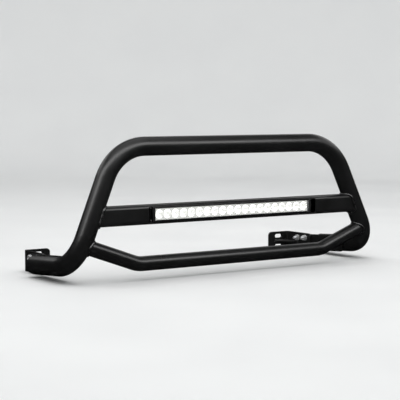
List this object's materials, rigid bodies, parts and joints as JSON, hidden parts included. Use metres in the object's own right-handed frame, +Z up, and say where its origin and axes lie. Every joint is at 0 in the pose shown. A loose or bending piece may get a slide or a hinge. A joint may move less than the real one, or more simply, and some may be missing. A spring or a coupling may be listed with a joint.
{
  "type": "front grille guard",
  "caption": "Black tubular front guard: splayed hoop, kinked lower crossbar and a box cross-member holding a tilting LED light bar, on frame brackets.",
  "frame": {"origin": "centre of the four slots in the rear faces of the two frame brackets, on the vehicle's centre plane", "axes": "+X to the vehicle's left, +Y back towards the vehicle, +Z up"},
  "size_m": [1.1788, 0.4085, 0.422],
  "materials": {
    "powder_coat": "textured black powder coat",
    "zinc_steel": "zinc plated",
    "stainless_steel": "satin",
    "black_plastic": "matt moulded",
    "black_rubber": "matt",
    "light_aluminium": "black anodised",
    "clear_lens": "clear polycarbonate",
    "silicone_seal": "silicone",
    "reflector_chrome": "vacuum metallised",
    "led_emitter": "phosphor dome",
    "circuit_board": "white solder mask",
    "driver_potting": "potting resin",
    "nylon": "nylon"
  },
  "bodies": {
    "guard": {"main_hoop": "powder_coat", "lower_crossbar": "powder_coat", "light_crossmember": "powder_coat", "leg_tab_left": "powder_coat", "leg_tab_right": "powder_coat", "frame_bracket_left": "powder_coat", "frame_bracket_right": "powder_coat", "bracket_bolts": "zinc_steel", "bracket_washers": "zinc_steel", "bracket_nuts": "zinc_steel", "hoop_end_plugs": "black_plastic", "light_bracket_left": "powder_coat", "light_bracket_right": "powder_coat", "light_bracket_bolts": "stainless_steel", "light_bracket_nuts": "stainless_steel", "cable_grommet": "black_rubber"},
    "light_bar": {"light_housing": "light_aluminium", "light_lens": "clear_lens", "lens_gasket": "silicone_seal", "reflector_array": "reflector_chrome", "led_emitters": "led_emitter", "led_board": "circuit_board", "driver_module": "driver_potting", "end_cap_left": "light_aluminium", "end_cap_right": "light_aluminium", "end_cap_gaskets": "silicone_seal", "end_cap_screws": "stainless_steel", "pivot_bolts": "stainless_steel", "pivot_washers": "stainless_steel", "pivot_spacers": "nylon", "cable_gland": "black_plastic", "gland_nut": "black_plastic", "breather_plug": "black_plastic"}
  },
  "joints": [
    {"name": "light_tilt", "type": "hinge", "parent": "guard", "child": "light_bar", "pos_m": [0, -0.37438, 0.15941], "axis": [1, 0, 0], "range_deg": [-10, 10]}
  ]
}
